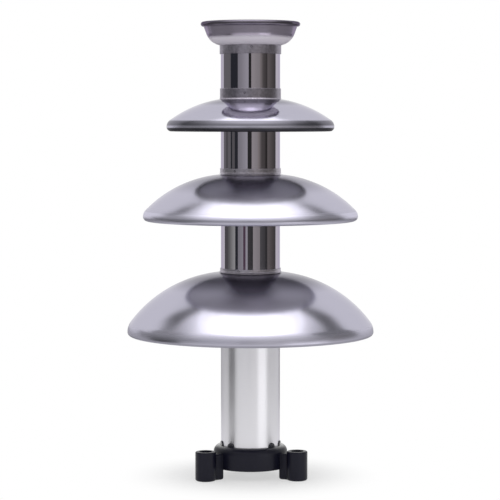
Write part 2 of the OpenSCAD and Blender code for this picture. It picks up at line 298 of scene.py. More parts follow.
# Finishes
def scaled(colour: Colour, factor: float) -> Colour:
    """The colour, lighter or darker by a factor."""
    return tuple(channel * factor for channel in colour)


@dataclass(frozen=True)
class Finish(ABC):
    """A surface of the tower, made once and shared by the pieces that have it."""

    name: str
    slot: Slot

    @abstractmethod
    def shade(self, graph: Graph, shader: bpy.types.Node) -> None:
        """Sets the shader's sockets.

        Args:
            graph: the material's nodes.
            shader: its principled shader.
        """

    def material(self) -> bpy.types.Material:
        """Makes the finish's material on the first call and finds it on the later ones.

        Returns:
            The material.
        """
        name = f"{self.name}_finish"
        if name in bpy.data.materials:
            return bpy.data.materials[name]
        material, graph = new_material(name)
        shader = graph.add("ShaderNodeBsdfPrincipled")
        graph.show(shader)
        self.shade(graph, shader)
        return material


@dataclass(frozen=True)
class WorkedSteel(Finish):
    """Stainless steel with the fine marks of spinning, turning, brushing or drawing."""

    colour: Colour
    roughness: float
    grain: Grain
    mark_width: float
    mark_relief: float
    mark_length: float = 4.0
    mark_gloss: float = 0.05
    cloud_size: float = 60 * MM
    cloud_gloss: float = 0.03
    cloud_share: float = 0.4
    cloud_weight: float = 0.55
    tone_spread: float = 0.05
    brushing: float = 0.0
    edge_tint: Colour = (0.8, 0.79, 0.83)

    def shade(self, graph: Graph, shader: bpy.types.Node) -> None:
        """Sets the shader's sockets.

        Args:
            graph: the material's nodes.
            shader: its principled shader.
        """
        x, y, z = graph.axes()
        radius = graph.reach()
        angle = graph.math("ARCTAN2", y, x)
        width = self.mark_width
        if self.grain is Grain.AROUND:
            along = graph.vector(radius / width, z / width, angle * self.mark_length)
        else:
            along = graph.vector(angle * radius / width, z * self.mark_length, radius / width)
        marks = graph.noise(along, 1.0)
        clouds = graph.noise(graph.place(), 1 / self.cloud_size, roughness=self.cloud_weight)
        unevenness = (marks - NOISE_MEAN) * self.mark_gloss + (clouds - NOISE_MEAN) * self.cloud_gloss
        share = marks * (1 - self.cloud_share) + clouds * self.cloud_share
        dark = scaled(self.colour, 1 - self.tone_spread)
        light = scaled(self.colour, 1 + self.tone_spread)
        graph.feed(shader, {
            "Base Color": self.toned(graph, graph.mix(share, dark, light)),
            "Roughness": self.gloss(graph) + unevenness,
            "Normal": graph.bump(marks, self.mark_relief),
            "Metallic": 1.0,
            "Specular Tint": self.edge_tint,
            "Anisotropic": self.brushing,
            "Anisotropic Rotation": self.grain.value,
        })

    def gloss(self, graph: Graph) -> Signal | float:
        """The roughness under the marks."""
        return self.roughness

    def toned(self, graph: Graph, tone: Signal) -> Signal:
        """The colour, with the painted light and shade that a kind of steel adds."""
        return tone


@dataclass(frozen=True, kw_only=True)
class SpunSteel(WorkedSteel):
    """Spun sheet of a tier, polished on its dome, finer brushed on its rim, left satin inside and painted
    with light and shade.

    Its other heights count from rim_level, the middle of the tier's curled lip. A face is inside by the
    upward part of its normal, which inside_from and inside_to give.
    """

    rim_level: float
    neck_painted_shade: float
    neck_from: float
    neck_to: float
    rim_height: float = 7 * MM
    rim_roughness: float = 0.34
    rim_blend: float = 3 * MM
    inside_from: float = -0.1
    inside_to: float = -0.35
    inside_height: float = 4 * MM
    inside_roughness: float = 0.42
    inside_painted_light: Colour = (0.97, 0.96, 0.98)
    deep_painted_shade: Colour = (0.10, 0.095, 0.11)
    deep_from: float = 24 * MM
    deep_to: float = 42 * MM
    band_painted_tone: float = 1.0
    band_low: float = 1.3 * MM
    band_high: float = 6.4 * MM
    band_blend: float = 0.6 * MM
    lip_painted_shade: float = 1.0
    lip_from: float = -0.6 * MM
    lip_to: float = -1.4 * MM

    def _height(self, graph: Graph) -> Signal:
        """Height over the lip's middle."""
        return graph.axes()[2] - self.rim_level

    def _inside(self, graph: Graph) -> Signal:
        """Finds the faces that look down.

        Args:
            graph: the material's nodes.

        Returns:
            1 on those faces.
        """
        facing = graph.value(graph.add("ShaderNodeNewGeometry"), "Normal")
        upward = graph.value(graph.add("ShaderNodeSeparateXYZ", inputs={0: facing}), 2)
        return 1 - upward.smooth(self.inside_to, self.inside_from)

    def toned(self, graph: Graph, tone: Signal) -> Signal:
        """Paints shade on the neck, the lip and deep in the hollow, light at the hollow's open edge, and the
        rim's band in its own painted tone.

        Args:
            graph: the material's nodes.
            tone: the colour with its marks.

        Returns:
            The colour of the whole tier.
        """
        height = self._height(graph)
        # Painted shade: the neck under the collar is darkened in the colour.
        neck = height.smooth(self.neck_from, self.neck_to)
        tone = graph.mix(neck, tone, scaled(self.colour, self.neck_painted_shade))
        # Painted light and shade in the hollow: light near its open edge, shade deep under the dome.
        deep = height.smooth(self.deep_from, self.deep_to)
        hollow = graph.mix(deep, self.inside_painted_light, self.deep_painted_shade)
        tone = graph.mix(self._inside(graph) * height.smooth(0.0, self.inside_height), tone, hollow)
        # Painted shade on the underside of the curled lip.
        lip = 1 - height.smooth(self.lip_to, self.lip_from)
        tone = graph.mix(lip, tone, scaled(self.colour, self.lip_painted_shade))
        # A band of the rim in its own painted tone: painted light on the medium tier, painted shade on the
        # small one.
        if self.band_painted_tone == 1:
            return tone
        over_low = height.past(self.band_low, self.band_blend)
        over_high = height.past(self.band_high, self.band_blend)
        return graph.mix(over_low * (1 - over_high), tone, scaled(self.colour, self.band_painted_tone))

    def gloss(self, graph: Graph) -> Signal:
        """Works out the roughness under the marks from the sheet's zones.

        Args:
            graph: the material's nodes.

        Returns:
            The roughness.
        """
        rim = 1 - self._height(graph).past(self.rim_height, self.rim_blend)
        outside = self.roughness + rim * (self.rim_roughness - self.roughness)
        return outside + self._inside(graph) * (self.inside_roughness - outside)


@dataclass(frozen=True, kw_only=True)
class BowlSteel(WorkedSteel):
    """Spun sheet of a bowl with a satin foot with painted light, a polished wall and a bead with painted
    shade.
    """

    foot_height: float
    bead_height: float
    foot_painted_light: Colour = (0.74, 0.70, 0.77)
    foot_roughness: float = 0.6
    foot_metal: float = 0.4
    foot_blend: float = 1.8 * MM
    bead_painted_shade: float = 0.3
    bead_blend: float = 2.5 * MM

    def shade(self, graph: Graph, shader: bpy.types.Node) -> None:
        """Sets the shader's sockets.

        Args:
            graph: the material's nodes.
            shader: its principled shader.
        """
        super().shade(graph, shader)
        graph.feed(shader, {"Metallic": self.foot_metal + self._wall(graph) * (1 - self.foot_metal)})

    def _wall(self, graph: Graph) -> Signal:
        """1 above the foot."""
        return graph.axes()[2].past(self.foot_height, self.foot_blend)

    def toned(self, graph: Graph, tone: Signal) -> Signal:
        """Paints light on the bowl's foot and shade on its bead.

        Args:
            graph: the material's nodes.
            tone: the colour with its marks.

        Returns:
            The colour of the whole bowl.
        """
        # Painted shade on the bead.
        bead = graph.axes()[2].past(self.bead_height, self.bead_blend)
        tone = graph.mix(bead, tone, scaled(self.colour, self.bead_painted_shade))
        # Painted light: the foot is given its own lighter colour.
        return graph.mix(self._wall(graph), self.foot_painted_light, tone)

    def gloss(self, graph: Graph) -> Signal:
        """The roughness under the marks, higher at the foot."""
        return self.foot_roughness + self._wall(graph) * (self.roughness - self.foot_roughness)


@dataclass(frozen=True)
class MouldedPlastic(Finish):
    """Injection-moulded plastic with a fine eroded grain and rounded edges with a painted highlight."""

    colour: Colour
    edge_highlight_colour: Colour
    roughness: float
    grain_size: float
    grain_relief: float
    edge_radius: float
    edge_samples: int = 6
    highlight_from: float = 0.02
    highlight_to: float = 0.2
    grain_detail: float = 2.0
    grain_gloss: float = 0.12
    clouds_per_metre: float = 45.0
    cloud_gloss: float = 0.10
    sheen: float = 0.5
    translucency: float = 0.0
    light_depth: float = 2 * MM
    light_spread: Colour = (1.0, 0.9, 0.8)
    polish_from: float = 0.0
    polish_to: float = 0.0

    def shade(self, graph: Graph, shader: bpy.types.Node) -> None:
        """Sets the shader's sockets.

        Args:
            graph: the material's nodes.
            shader: its principled shader.
        """
        bevel = graph.add("ShaderNodeBevel", {"samples": self.edge_samples}, {"Radius": self.edge_radius})
        rounded = graph.value(bevel)
        facing = graph.value(graph.add("ShaderNodeNewGeometry"), "Normal")
        likeness = graph.add("ShaderNodeVectorMath", {"operation": "DOT_PRODUCT"}, {0: rounded, 1: facing})
        # Painted highlight: the rounded edges are painted in the lighter edge colour.
        edge = (1 - graph.value(likeness, "Value")).smooth(self.highlight_from, self.highlight_to)
        grain = graph.noise(graph.place(), 1 / self.grain_size, detail=self.grain_detail)
        clouds = graph.noise(graph.place(), self.clouds_per_metre)
        unevenness = (grain - NOISE_MEAN) * self.grain_gloss + (clouds - NOISE_MEAN) * self.cloud_gloss
        graph.feed(shader, {
            "Base Color": graph.mix(edge, self.colour, self.edge_highlight_colour),
            "Roughness": self.roughness + unevenness,
            "Normal": graph.bump(grain, self.grain_relief, rounded),
            "Specular IOR Level": self.sheen,
            "Subsurface Weight": self.translucency,
            "Subsurface Radius": self.light_spread,
            "Subsurface Scale": self.light_depth,
        })
        if self.polish_to:
            polish = graph.axes()[2].smooth(self.polish_from, self.polish_to)
            graph.feed(shader, {"Coat Weight": polish, "Coat Roughness": self.roughness / 2})


@dataclass(frozen=True)
class TierShape:
    """Radii and angles of a spun tier's profile."""

    dome_radius: float
    shoulder_radius: float
    shoulder_angle: float
    lip_radius: float


def lip_level(tier: str, shape: TierShape) -> float:
    """Height of the middle of a tier's curled lip."""
    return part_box(tier)[0].z + shape.lip_radius


LARGE_SHAPE = TierShape(
    dome_radius=126.5 * MM, shoulder_radius=17 * MM, shoulder_angle=37.0, lip_radius=3.4 * MM)
MEDIUM_SHAPE = TierShape(
    dome_radius=119 * MM, shoulder_radius=9 * MM, shoulder_angle=43.8, lip_radius=4.5 * MM)
SMALL_SHAPE = TierShape(
    dome_radius=115.5 * MM, shoulder_radius=8.5 * MM, shoulder_angle=53.6, lip_radius=4.6 * MM)

STEEL: Colour = (0.52, 0.508, 0.60)
BRIGHT_STEEL: Colour = scaled(STEEL, 1.05)

LARGE_SPUN = SpunSteel(
    "large_spun_steel", Slot.SPUN_STEEL, scaled(STEEL, 0.97), roughness=0.20, grain=Grain.AROUND,
    mark_width=0.9 * MM, mark_relief=0.003 * MM, brushing=0.5,
    rim_level=lip_level("large_tier", LARGE_SHAPE), lip_painted_shade=0.66,
    neck_painted_shade=0.28, neck_from=42 * MM, neck_to=57 * MM)
MEDIUM_SPUN = SpunSteel(
    "medium_spun_steel", Slot.SPUN_STEEL, STEEL, roughness=0.22, grain=Grain.AROUND,
    mark_width=0.9 * MM, mark_relief=0.003 * MM, brushing=0.5,
    rim_level=lip_level("medium_tier", MEDIUM_SHAPE), deep_from=36 * MM, deep_to=46 * MM,
    neck_painted_shade=0.5, neck_from=23 * MM, neck_to=38 * MM,
    band_painted_tone=1.25, band_low=0.8 * MM, band_high=5.5 * MM)
SMALL_SPUN = SpunSteel(
    "small_spun_steel", Slot.SPUN_STEEL, scaled(STEEL, 0.95), roughness=0.10, grain=Grain.AROUND,
    mark_width=0.9 * MM, mark_relief=0.002 * MM, brushing=0.5,
    rim_level=lip_level("small_tier", SMALL_SHAPE), deep_to=32 * MM, lip_painted_shade=0.11,
    neck_painted_shade=0.42, neck_from=20.5 * MM, neck_to=25.5 * MM, band_painted_tone=0.32)
CROWN_SPUN = BowlSteel(
    "crown_spun_steel", Slot.SPUN_STEEL, (0.46, 0.413, 0.51), roughness=0.22, grain=Grain.AROUND,
    mark_width=0.7 * MM, mark_relief=0.003 * MM, brushing=0.4, edge_tint=(0.44, 0.41, 0.48),
    foot_height=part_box("crown")[0].z + 8 * MM, bead_height=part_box("crown")[1].z - 4.6 * MM)
SATIN = WorkedSteel(
    "satin_steel", Slot.SATIN_STEEL, (0.77, 0.762, 0.797), roughness=0.34, grain=Grain.AROUND,
    mark_width=0.35 * MM, mark_relief=0.004 * MM, mark_length=6.0, mark_gloss=0.08, brushing=0.75)
MIRROR = WorkedSteel(
    "mirror_steel", Slot.MIRROR_STEEL, (0.46, 0.43, 0.485), roughness=0.035, grain=Grain.ALONG,
    mark_width=1.2 * MM, mark_relief=0.0006 * MM, mark_gloss=0.02, cloud_gloss=0.02,
    edge_tint=(0.68, 0.65, 0.77))
COLLAR = WorkedSteel(
    "collar_steel", Slot.COLLAR_STEEL, (0.35, 0.326, 0.38), roughness=0.29, grain=Grain.ALONG,
    mark_width=0.4 * MM, mark_relief=0.002 * MM, brushing=0.8,
    cloud_size=2.6 * MM, cloud_share=0.9, tone_spread=0.6)
# A lighter copy of the collar steel with painted light, for the two lower collars.
PAINTED_LIGHT_COLLAR = WorkedSteel(
    "painted_light_collar_steel", Slot.COLLAR_STEEL, (0.53, 0.50, 0.56), roughness=0.30, grain=Grain.ALONG,
    mark_width=0.4 * MM, mark_relief=0.002 * MM, brushing=0.8,
    cloud_size=2.6 * MM, cloud_share=0.9, tone_spread=0.45)
WELD = WorkedSteel(
    "weld_steel", Slot.COLLAR_STEEL, (0.11, 0.10, 0.12), roughness=0.45, grain=Grain.ALONG,
    mark_width=0.4 * MM, mark_relief=0.002 * MM)
TURNED = WorkedSteel(
    "turned_steel", Slot.TURNED_STEEL, BRIGHT_STEEL, roughness=0.26, grain=Grain.AROUND,
    mark_width=0.3 * MM, mark_relief=0.006 * MM, brushing=0.5)
SCREW = WorkedSteel(
    "auger_steel", Slot.AUGER_STEEL, BRIGHT_STEEL, roughness=0.24, grain=Grain.AROUND,
    mark_width=0.8 * MM, mark_relief=0.005 * MM)
BLACK_PLASTIC = MouldedPlastic(
    "black_plastic", Slot.BLACK_PLASTIC, (0.0065, 0.0065, 0.0165), (0.026, 0.026, 0.036), roughness=0.34,
    grain_size=0.35 * MM, grain_relief=0.02 * MM, edge_radius=0.7 * MM, sheen=0.2,
    polish_from=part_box("foot")[1].z - 7 * MM, polish_to=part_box("foot")[1].z - 4 * MM)
ACETAL = MouldedPlastic(
    "acetal", Slot.ACETAL, (0.78, 0.77, 0.72), (0.82, 0.81, 0.77), roughness=0.38,
    grain_size=0.5 * MM, grain_relief=0.01 * MM, edge_radius=0.25 * MM, translucency=0.15)


# Pieces and their outlines
def body_of(node: str) -> str:
    """Name of the body that a node belongs to."""
    bodies = frame["record"]["behaviour"]["bodies"]
    return next(name for name, members in bodies.items() if node in members)


def dress(node: str, finish: Finish) -> None:
    """Gives a carried-over node its finish.

    Args:
        node: the node's name.
        finish: its surface.
    """
    slots = frame["nodes"][node].data.materials
    slots.clear()
    slots.append(finish.material())
    log.info("%s keeps its solid, in %s", node, finish.name)


def settle(piece: bpy.types.Object, node: str, finish: Finish, stands_for_node: bool = True) -> None:
    """Gives a new piece its finish and lets it ride with a node's body.

    Args:
        piece: the new object.
        node: the node that it replaces or sits on.
        finish: its surface.
        stands_for_node: whether it replaces the node.
    """
    piece.data.materials.append(finish.material())
    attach(piece, body_of(node))
    if stands_for_node:
        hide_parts(node)
    log.info("%s: %d faces, in %s", piece.name, len(piece.data.polygons), finish.name)


def make_piece(name: str, points: Sequence[Place], faces: Sequence[Face]) -> bpy.types.Object:
    """Makes a smooth mesh with its sharp edges kept.

    Args:
        name: the object's name.
        points: vertices in metres.
        faces: vertex numbers of each face.

    Returns:
        The linked object.
    """
    mesh = bpy.data.meshes.new(name)
    mesh.from_pydata(points, [], faces)
    mesh.validate()
    mesh.shade_smooth()
    mesh.set_sharp_from_angle(angle=SHARP_ANGLE)
    piece = bpy.data.objects.new(name, mesh)
    bpy.context.scene.collection.objects.link(piece)
    return piece


def arc(centre: Point, radius: float, start: float, end: float, steps: int) -> list[Point]:
    """Points along a round stretch of an outline.

    Args:
        centre: the arc's centre.
        radius: its radius.
        start: angle of the first point, in degrees.
        end: angle of the last point, in degrees.
        steps: number of stretches between the points.

    Returns:
        The points, both ends included.
    """
    turns = [math.radians(start + (end - start) * i / steps) for i in range(steps + 1)]
    return [(centre[0] + radius * math.cos(t), centre[1] + radius * math.sin(t)) for t in turns]


def around(radius: float, angle: float, height: float) -> Place:
    """A point at a radius, an angle in radians from +X, and a height."""
    return radius * math.cos(angle), radius * math.sin(angle), height


def ring(radius: float, height: float) -> list[Place]:
    """Points of a level circle round the tower's axis."""
    return [around(radius, 2 * math.pi * i / SEGMENTS, height) for i in range(SEGMENTS)]


def loft(rows: int, size: int, closed: bool = False) -> list[Face]:
    """Faces between neighbouring rows of points, each of which is a loop.

    Args:
        rows: number of rows.
        size: number of points in a row.
        closed: whether the last row joins the first.

    Returns:
        The faces.
    """
    faces = []
    for row in range(rows if closed else rows - 1):
        here, there = row * size, (row + 1) % rows * size
        for j in range(size):
            k = (j + 1) % size
            faces.append((here + j, there + j, there + k, here + k))
    return faces


def held(outline: Sequence[Point]) -> list[Point]:
    """Adds points near the ends of long straight stretches, so that shading stays flat between them.

    Args:
        outline: the closed outline.

    Returns:
        The outline with the added points.
    """
    points = []
    for here, there in zip(outline, [*outline[1:], outline[0]]):
        points.append(here)
        length = math.dist(here, there)
        if length > LONG_STRETCH:
            shares = (HOLD_DISTANCE / length, 1 - HOLD_DISTANCE / length)
            points += [tuple(a + (b - a) * share for a, b in zip(here, there)) for share in shares]
    return points


def lathe(name: str, outline: Sequence[Point]) -> bpy.types.Object:
    """Turns a closed outline round the tower's axis.

    Args:
        name: the object's name.
        outline: radius and height of each point, anticlockwise with the axis on the left.

    Returns:
        The linked object.
    """
    outline = held(outline)
    turns = [2 * math.pi * i / SEGMENTS for i in range(SEGMENTS)]
    points = [around(radius, turn, height) for turn in turns for radius, height in outline]
    return make_piece(name, points, loft(SEGMENTS, len(outline), closed=True))


def eased_band(inner: float, outer: float, low: float, high: float, ease: float) -> list[Point]:
    """Outline of a band or tube wall with slightly rounded edges.

    Args:
        inner: inner radius.
        outer: outer radius.
        low: height of its foot.
        high: height of its top.
        ease: radius of its edges.

    Returns:
        The closed outline.
    """
    corners = [(outer - ease, low + ease, -90), (outer - ease, high - ease, 0),
               (inner + ease, high - ease, 90), (inner + ease, low + ease, 180)]
    return [point for r, z, start in corners for point in arc((r, z), ease, start, start + 90, EASE_STEPS)]


# Sub-assemblies
@dataclass(frozen=True)
class WeldMarks:
    """Small round spot-weld marks spaced round a band."""

    radius: float
    height: float
    azimuth: float
    count: int = 3
    mark_radius: float = 1.2 * MM
    ring_shares: tuple[float, ...] = (1.0, 0.85, 0.65, 0.4)
    rim: float = 0.06 * MM
    dip: float = 0.10 * MM
    sunk: float = 0.05 * MM
    segments: int = 24

    def build(self, name: str) -> bpy.types.Object:
        """Makes all marks as one piece.

        Args:
            name: the object's name.

        Returns:
            The linked object.
        """
        rises = (-self.sunk, self.rim, self.rim, self.rim - self.dip)
        points: list[Place] = []
        faces: list[Face] = []
        for mark in range(self.count):
            start = len(points)
            middle = math.radians(self.azimuth - 90 + 360 * mark / self.count)
            for share, proud in zip(self.ring_shares, rises):
                points += [self._place(middle, share, proud, i) for i in range(self.segments)]
            for face in loft(len(rises), self.segments):
                faces.append(tuple(start + corner for corner in reversed(face)))
            faces.append(tuple(range(len(points) - self.segments, len(points))))
        return make_piece(name, points, faces)

    def _place(self, middle: float, share: float, proud: float, step: int) -> Place:
        """A point of one mark.

        Args:
            middle: angle of the mark's centre, in radians from +X.
            share: distance from its centre as a share of its radius.
            proud: how far it stands off the band.
            step: place round the mark.

        Returns:
            The point.
        """
        turn = 2 * math.pi * step / self.segments
        across = self.mark_radius * share * math.cos(turn) / self.radius
        rise = self.mark_radius * share * math.sin(turn)
        return around(self.radius + proud, middle + across, self.height + rise)


@dataclass
class TierSection:
    """A spun tier with its collar, the riser above it and the coupling under it."""

    tier: str
    collar: str
    riser: str
    coupling: str
    shape: TierShape
    finish: Finish
    weld_azimuth: float
    collar_finish: Finish = COLLAR
    undercut: float = 0.0
    undercut_wall: float = 0.2 * MM
    sheet: float = 1 * MM
    bend_radius: float = 2 * MM
    neck_length: float = 12 * MM
    lip_turn: float = 150.0
    tube_wall: float = 1 * MM
    flare: float = 0.7 * MM
    flare_height: float = 1.4 * MM
    weld_gap: float = 0.05 * MM
    edge_ease: float = 0.15 * MM
    lip_steps: int = 16
    shoulder_steps: int = 12
    dome_steps: int = 40
    bend_steps: int = 8
    flare_steps: int = 6

    def build(self) -> None:
        """Makes the section's pieces and dresses its coupling."""
        settle(lathe(f"{self.tier}_sheet", self._sheet_outline()), self.tier, self.finish)
        settle(lathe(f"{self.collar}_band", self._collar_outline()), self.collar, self.collar_finish)
        settle(lathe(f"{self.riser}_tube", self._riser_outline()), self.riser, MIRROR)
        self._weld_collar()
        dress(self.coupling, TURNED)

    @property
    def fit_radius(self) -> float:
        """Radius at which the tier's neck and the collar sit on the riser."""
        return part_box(self.riser)[1].x + self.weld_gap

    def _sheet_outline(self) -> list[Point]:
        """The tier's closed outline, outside first."""
        return self._face(0.0) + self._face(self.sheet)[::-1]

    def _face(self, depth: float) -> list[Point]:
        """One face of the spun sheet, from the curled lip to the neck's end.

        Args:
            depth: how far the face lies under the outer one.

        Returns:
            Its points.
        """
        shape = self.shape
        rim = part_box(self.tier)[1].x
        level = lip_level(self.tier, shape)
        turn = math.radians(shape.shoulder_angle)
        inset = shape.shoulder_radius - shape.dome_radius
        shoulder_middle = (rim - shape.shoulder_radius, level)
        dome_r = shoulder_middle[0] + inset * math.cos(turn)
        dome_z = level + inset * math.sin(turn)
        neck = self.fit_radius
        bend_r = neck + self.bend_radius
        bend_z = dome_z + math.sqrt((shape.dome_radius - self.bend_radius) ** 2 - (bend_r - dome_r) ** 2)
        bend_turn = math.degrees(math.atan2(bend_z - dome_z, bend_r - dome_r))
        lip_middle = (rim - shape.lip_radius, level)
        lip = arc(lip_middle, shape.lip_radius - depth, -self.lip_turn, 0, self.lip_steps)
        shoulder = arc(
            shoulder_middle, shape.shoulder_radius - depth, 0, shape.shoulder_angle, self.shoulder_steps)
        dome = arc(
            (dome_r, dome_z), shape.dome_radius - depth, shape.shoulder_angle, bend_turn, self.dome_steps)
        bend = arc((bend_r, bend_z), self.bend_radius - depth, bend_turn, 180, self.bend_steps)
        end = (neck + depth, bend_z + self.bend_radius - self.neck_length)
        return lip[:-1] + shoulder[:-1] + dome[:-1] + bend + [end]

    def _collar_outline(self) -> list[Point]:
        """Draws the collar, with its foot undercut and flared in a curve.

        Returns:
            The closed outline.
        """
        low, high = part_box(self.collar)
        inner = self.fit_radius
        foot = low.z + self.undercut
        wall = high.x - self.flare
        shares = [i / self.flare_steps for i in range(self.flare_steps + 1)]
        flared = [
            (wall + self.flare * (1 - share) ** 2, foot + self.flare_height * share) for share in shares]
        top = arc((wall - self.edge_ease, high.z - self.edge_ease), self.edge_ease, 0, 90, EASE_STEPS)
        skirt = [(inner, low.z)]
        if self.undercut:
            skirt += [(inner + self.undercut_wall, low.z), (inner + self.undercut_wall, foot)]
        return skirt + flared + top + [(inner, high.z)]

    def _riser_outline(self) -> list[Point]:
        """The riser's closed outline."""
        low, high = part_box(self.riser)
        return eased_band(high.x - self.tube_wall, high.x, low.z, high.z, self.edge_ease)

    def _weld_collar(self) -> None:
        """Puts the spot welds' marks on the collar's wall."""
        low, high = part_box(self.collar)
        marks = WeldMarks(high.x - self.flare, (low.z + self.flare_height + high.z) / 2, self.weld_azimuth)
        settle(marks.build(f"{self.collar}_welds"), self.collar, WELD, stands_for_node=False)


@dataclass
class Crown:
    """The bowl at the top of the tower and the collar under its floor."""

    bowl: str = "crown"
    collar: str = "crown_collar"
    sheet: float = 1 * MM
    bead_radius: float = 2.4 * MM
    bead_lap: float = 1.6 * MM
    lean: float = 20.0
    curve_radius: float = 18 * MM
    collar_wall: float = 1 * MM
    edge_ease: float = 0.2 * MM
    weld_drop: float = 2 * MM
    weld_azimuth: float = 0.0
    bead_steps: int = 30
    curve_steps: int = 28

    def build(self) -> None:
        """Makes the bowl and its collar."""
        settle(lathe("crown_bowl", self._bowl_outline()), self.bowl, CROWN_SPUN)
        low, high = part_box(self.collar)
        band = eased_band(high.x - self.collar_wall, high.x, low.z, high.z, self.edge_ease)
        settle(lathe("crown_collar_band", band), self.collar, COLLAR)
        marks = WeldMarks(high.x, high.z - self.weld_drop, self.weld_azimuth)
        settle(marks.build("crown_collar_welds"), self.collar, WELD, stands_for_node=False)

    def _bowl_outline(self) -> list[Point]:
        """Draws the bowl: outside wall, rolled bead, inside wall and the floor's hole.

        Returns:
            The closed outline.
        """
        low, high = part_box(self.bowl)
        bead = (high.x - self.bead_radius, high.z - self.bead_radius)
        outer, outer_turn = self._wall_face(low.z, bead, 0.0)
        inner, inner_turn = self._wall_face(low.z, bead, self.sheet)
        roll = arc(bead, self.bead_radius, outer_turn - 360, inner_turn, self.bead_steps)
        return outer + roll[1:-1] + inner[::-1]

    def _wall_face(self, floor: float, bead: Point, depth: float) -> tuple[list[Point], float]:
        """One face of the bowl's sheet, from the floor's hole up to the bead.

        Args:
            floor: height of the floor's underside.
            bead: centre of the bead.
            depth: how far the face lies inside the outer one.

        Returns:
            Its points, and the angle round the bead at which it meets the bead, in degrees.
        """
        lean = math.radians(self.lean)
        out = Vector((math.cos(lean), -math.sin(lean)))
        rise = Vector((math.sin(lean), math.cos(lean)))
        middle = Vector(bead)
        hole = Vector((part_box(self.collar)[1].x - self.collar_wall, floor))
        wall = middle + Vector((self.bead_lap - self.bead_radius, 0)) + self.sheet * out
        above = wall - self.curve_radius * out - hole
        drop = above @ rise - math.sqrt((above @ rise) ** 2 - above @ above + self.curve_radius ** 2)
        centre = hole + above - drop * rise
        start = -math.degrees(math.acos((hole.x - centre.x) / (self.curve_radius - depth)))
        bowl = arc((centre.x, centre.y), self.curve_radius - depth, start, -self.lean, self.curve_steps)
        offset = wall - depth * out - middle
        reach = -(offset @ rise) - math.sqrt(self.bead_radius ** 2 - (offset @ out) ** 2)
        meet = offset + reach * rise
        turn = math.degrees(math.atan2(meet.y, meet.x))
        return [*bowl, (middle.x + meet.x, middle.y + meet.y)], turn


@dataclass
class Stand:
    """The lugged foot, the bush in its hub and the main tube keyed into it."""

    foot: str = "foot"
    bush: str = "foot_bush"
    tube: str = "main_tube"
    wall: float = 1 * MM
    lug_angles: tuple[float, ...] = (90.0, 210.0, 330.0)
    key_angle: float = 17.0
    notch_half: float = 4.4 * MM
    notch_top: float = 37.4 * MM
    collar_line: float = 44 * MM
    arch_steps: int = 24
    plain_steps: int = 12

    def build(self) -> None:
        """Makes the notched tube and dresses the foot and the bush."""
        dress(self.foot, BLACK_PLASTIC)
        dress(self.bush, ACETAL)
        settle(self._notched_tube(), self.tube, SATIN)

    @cached_property
    def tube_box(self) -> tuple[Vector, Vector]:
        """The main tube's low and high corner."""
        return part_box(self.tube)

    def _columns(self) -> list[Column]:
        """Places the tube's upright lines round it, notch by notch.

        Returns:
            Angle from +X in radians and, inside a notch, the sideways place from -1 to 1.
        """
        keys = [(lug + side * self.key_angle) % 360 for lug in self.lug_angles for side in (-1, 1)]
        middles = sorted(math.radians(key) for key in keys)
        half = math.asin(self.notch_half / self.tube_box[1].x)
        shares = [-math.cos(math.pi * i / self.arch_steps) for i in range(self.arch_steps + 1)]
        columns: list[Column] = []
        for middle, following in zip(middles, [*middles[1:], middles[0] + 2 * math.pi]):
            columns += [(middle, share) for share in shares]
            start, end = middle + half, following - half
            steps = range(1, self.plain_steps)
            columns += [(start + (end - start) * i / self.plain_steps, None) for i in steps]
        return columns

    def _notched_tube(self) -> bpy.types.Object:
        """Makes the main tube with the arched notches that stand over the foot's keys.

        Returns:
            The linked object.
        """
        columns = self._columns()
        points: list[Place] = []
        rows = [self._add_row(points, column) for column in columns]
        faces: list[Face] = []
        for (_, share), row, following in zip(columns, rows, [*rows[1:], rows[0]]):
            faces += self._strip(share, row, following)
        return make_piece("main_tube_sleeve", points, faces)

    def _add_row(self, points: list[Place], column: Column) -> dict[Level, Pair]:
        """Adds the points of one upright line.

        Args:
            points: the tube's points, which grow.
            column: the line's angle and its place in a notch.

        Returns:
            The numbers of its outer and inner point at each level.
        """
        middle, share = column
        low, high = self.tube_box
        spring = self.notch_top - self.notch_half
        arch = spring if share is None else spring + self.notch_half * math.sqrt(1 - share * share)
        heights = {Level.ARCH: arch, Level.LINE: self.collar_line, Level.TOP: high.z}
        if share is None or abs(share) == 1:
            heights[Level.FOOT] = low.z
        row = {}
        for level, height in heights.items():
            for radius in (high.x, high.x - self.wall):
                turn = 0.0 if share is None else math.asin(share * self.notch_half / radius)
                points.append(around(radius, middle + turn, height))
            row[level] = (len(points) - 2, len(points) - 1)
        return row

    @staticmethod
    def _strip(share: float | None, row: dict[Level, Pair], following: dict[Level, Pair]) -> list[Face]:
        """Faces between an upright line and the next one.

        Args:
            share: the line's place in a notch.
            row: the numbers of its points.
            following: those of the next line.

        Returns:
            The faces of both walls, of the edges and of a notch's side.
        """
        levels = list(Level) if share is None or share == 1 else list(Level)[1:]
        faces = []
        for lower, upper in zip(levels, levels[1:]):
            a, b, c, d = row[lower], following[lower], following[upper], row[upper]
            faces += [(a[0], b[0], c[0], d[0]), (d[1], c[1], b[1], a[1])]
        a, b = row[levels[0]], following[levels[0]]
        c, d = row[Level.TOP], following[Level.TOP]
        faces += [(a[1], b[1], b[0], a[0]), (c[0], d[0], d[1], c[1])]
        if share is not None and abs(share) == 1:
            foot, arch = row[Level.FOOT], row[Level.ARCH]
            side = (foot[0], arch[0], arch[1], foot[1])
            faces.append(side if share < 0 else side[::-1])
        return faces


